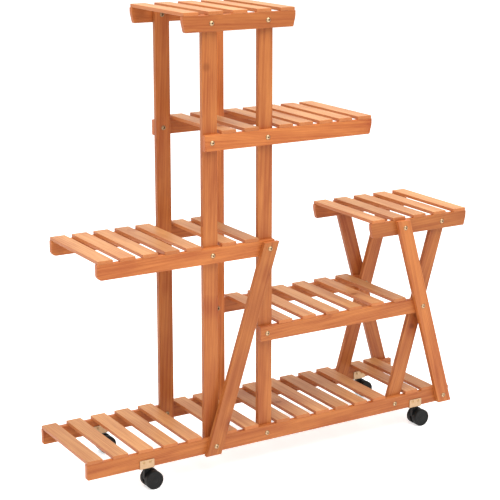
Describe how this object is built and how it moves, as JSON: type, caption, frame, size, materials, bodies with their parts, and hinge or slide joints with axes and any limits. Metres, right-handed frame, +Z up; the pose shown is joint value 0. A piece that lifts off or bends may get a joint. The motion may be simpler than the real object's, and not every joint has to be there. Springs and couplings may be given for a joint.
{
  "type": "flower cart stand",
  "caption": "Stepped slatted plant stand of stained fir: a post tower with shelves to both sides, a crossed-leg stool on the same base, and swivel casters.",
  "frame": {"origin": "on the floor, midway along and across the stand", "axes": "+X along the stand to the stool's end, +Y to the back, away from the side with the diagonal brace, +Z up"},
  "size_m": [0.9814, 0.2678, 1.005],
  "materials": {
    "fir_boards": "honey-brown stain under satin clear coat, planed",
    "fir_slats": "lighter honey stain under satin clear coat, planed",
    "zinc_fasteners": "bright zinc plate",
    "steel_brads": "bare steel, set flush",
    "bracket_screws": "yellow zinc plate",
    "brass_plate": "pale brass-plated pressed steel",
    "steel_pins": "turned steel",
    "black_housing": "moulded black nylon",
    "black_wheel": "moulded black nylon, fine texture"
  },
  "bodies": {
    "root": {"back_left_bracket": "brass_plate", "back_left_stem": "steel_pins", "back_right_bracket": "brass_plate", "back_right_stem": "steel_pins", "base_rail_back": "fir_boards", "base_rail_front": "fir_boards", "base_slats": "fir_slats", "bracket_screws": "bracket_screws", "diagonal_brace": "fir_boards", "frame_nuts": "zinc_fasteners", "front_left_bracket": "brass_plate", "front_left_stem": "steel_pins", "front_right_bracket": "brass_plate", "front_right_stem": "steel_pins", "long_frame_bolts": "zinc_fasteners", "lower_shelf_rail_back": "fir_boards", "lower_shelf_rail_front": "fir_boards", "lower_shelf_slats": "fir_slats", "middle_shelf_rail_back": "fir_boards", "middle_shelf_rail_front": "fir_boards", "middle_shelf_slats": "fir_slats", "post_back_left": "fir_boards", "post_back_right": "fir_boards", "post_front_left": "fir_boards", "post_front_right": "fir_boards", "short_frame_bolts": "zinc_fasteners", "slat_brads": "steel_brads", "stool_leg_back_inner": "fir_boards", "stool_leg_back_outer": "fir_boards", "stool_leg_front_inner": "fir_boards", "stool_leg_front_outer": "fir_boards", "stool_rail_back": "fir_boards", "stool_rail_front": "fir_boards", "stool_slats": "fir_slats", "top_shelf_rail_back": "fir_boards", "top_shelf_rail_front": "fir_boards", "top_shelf_slats": "fir_slats", "upper_shelf_rail_back": "fir_boards", "upper_shelf_rail_front": "fir_boards", "upper_shelf_slats": "fir_slats"},
    "back_left_caster": {"back_left_axle": "steel_pins", "back_left_housing": "black_housing"},
    "back_left_far_wheel_turning": {"back_left_far_wheel": "black_wheel"},
    "back_left_near_wheel_turning": {"back_left_near_wheel": "black_wheel"},
    "back_right_caster": {"back_right_axle": "steel_pins", "back_right_housing": "black_housing"},
    "back_right_far_wheel_turning": {"back_right_far_wheel": "black_wheel"},
    "back_right_near_wheel_turning": {"back_right_near_wheel": "black_wheel"},
    "front_left_caster": {"front_left_axle": "steel_pins", "front_left_housing": "black_housing"},
    "front_left_far_wheel_turning": {"front_left_far_wheel": "black_wheel"},
    "front_left_near_wheel_turning": {"front_left_near_wheel": "black_wheel"},
    "front_right_caster": {"front_right_axle": "steel_pins", "front_right_housing": "black_housing"},
    "front_right_far_wheel_turning": {"front_right_far_wheel": "black_wheel"},
    "front_right_near_wheel_turning": {"front_right_near_wheel": "black_wheel"}
  },
  "joints": [
    {"name": "front_left_swivel", "type": "hinge", "parent": "root", "child": "front_left_caster", "pos_m": [-0.35267, -0.112, 0.046], "axis": [0, 0, 1], "continuous": true},
    {"name": "front_left_near_roll", "type": "hinge", "parent": "front_left_caster", "child": "front_left_near_wheel_turning", "pos_m": [-0.33767, -0.112, 0.02], "axis": [0, 1, 0], "continuous": true},
    {"name": "front_left_far_roll", "type": "hinge", "parent": "front_left_caster", "child": "front_left_far_wheel_turning", "pos_m": [-0.33767, -0.112, 0.02], "axis": [0, 1, 0], "continuous": true},
    {"name": "front_right_swivel", "type": "hinge", "parent": "root", "child": "front_right_caster", "pos_m": [0.35583, -0.112, 0.046], "axis": [0, 0, 1], "continuous": true},
    {"name": "front_right_near_roll", "type": "hinge", "parent": "front_right_caster", "child": "front_right_near_wheel_turning", "pos_m": [0.37083, -0.112, 0.02], "axis": [0, 1, 0], "continuous": true},
    {"name": "front_right_far_roll", "type": "hinge", "parent": "front_right_caster", "child": "front_right_far_wheel_turning", "pos_m": [0.37083, -0.112, 0.02], "axis": [0, 1, 0], "continuous": true},
    {"name": "back_left_swivel", "type": "hinge", "parent": "root", "child": "back_left_caster", "pos_m": [-0.35267, 0.117, 0.046], "axis": [0, 0, 1], "continuous": true},
    {"name": "back_left_near_roll", "type": "hinge", "parent": "back_left_caster", "child": "back_left_near_wheel_turning", "pos_m": [-0.33767, 0.117, 0.02], "axis": [0, 1, 0], "continuous": true},
    {"name": "back_left_far_roll", "type": "hinge", "parent": "back_left_caster", "child": "back_left_far_wheel_turning", "pos_m": [-0.33767, 0.117, 0.02], "axis": [0, 1, 0], "continuous": true},
    {"name": "back_right_swivel", "type": "hinge", "parent": "root", "child": "back_right_caster", "pos_m": [0.35583, 0.117, 0.046], "axis": [0, 0, 1], "continuous": true},
    {"name": "back_right_near_roll", "type": "hinge", "parent": "back_right_caster", "child": "back_right_near_wheel_turning", "pos_m": [0.37083, 0.117, 0.02], "axis": [0, 1, 0], "continuous": true},
    {"name": "back_right_far_roll", "type": "hinge", "parent": "back_right_caster", "child": "back_right_far_wheel_turning", "pos_m": [0.37083, 0.117, 0.02], "axis": [0, 1, 0], "continuous": true}
  ]
}
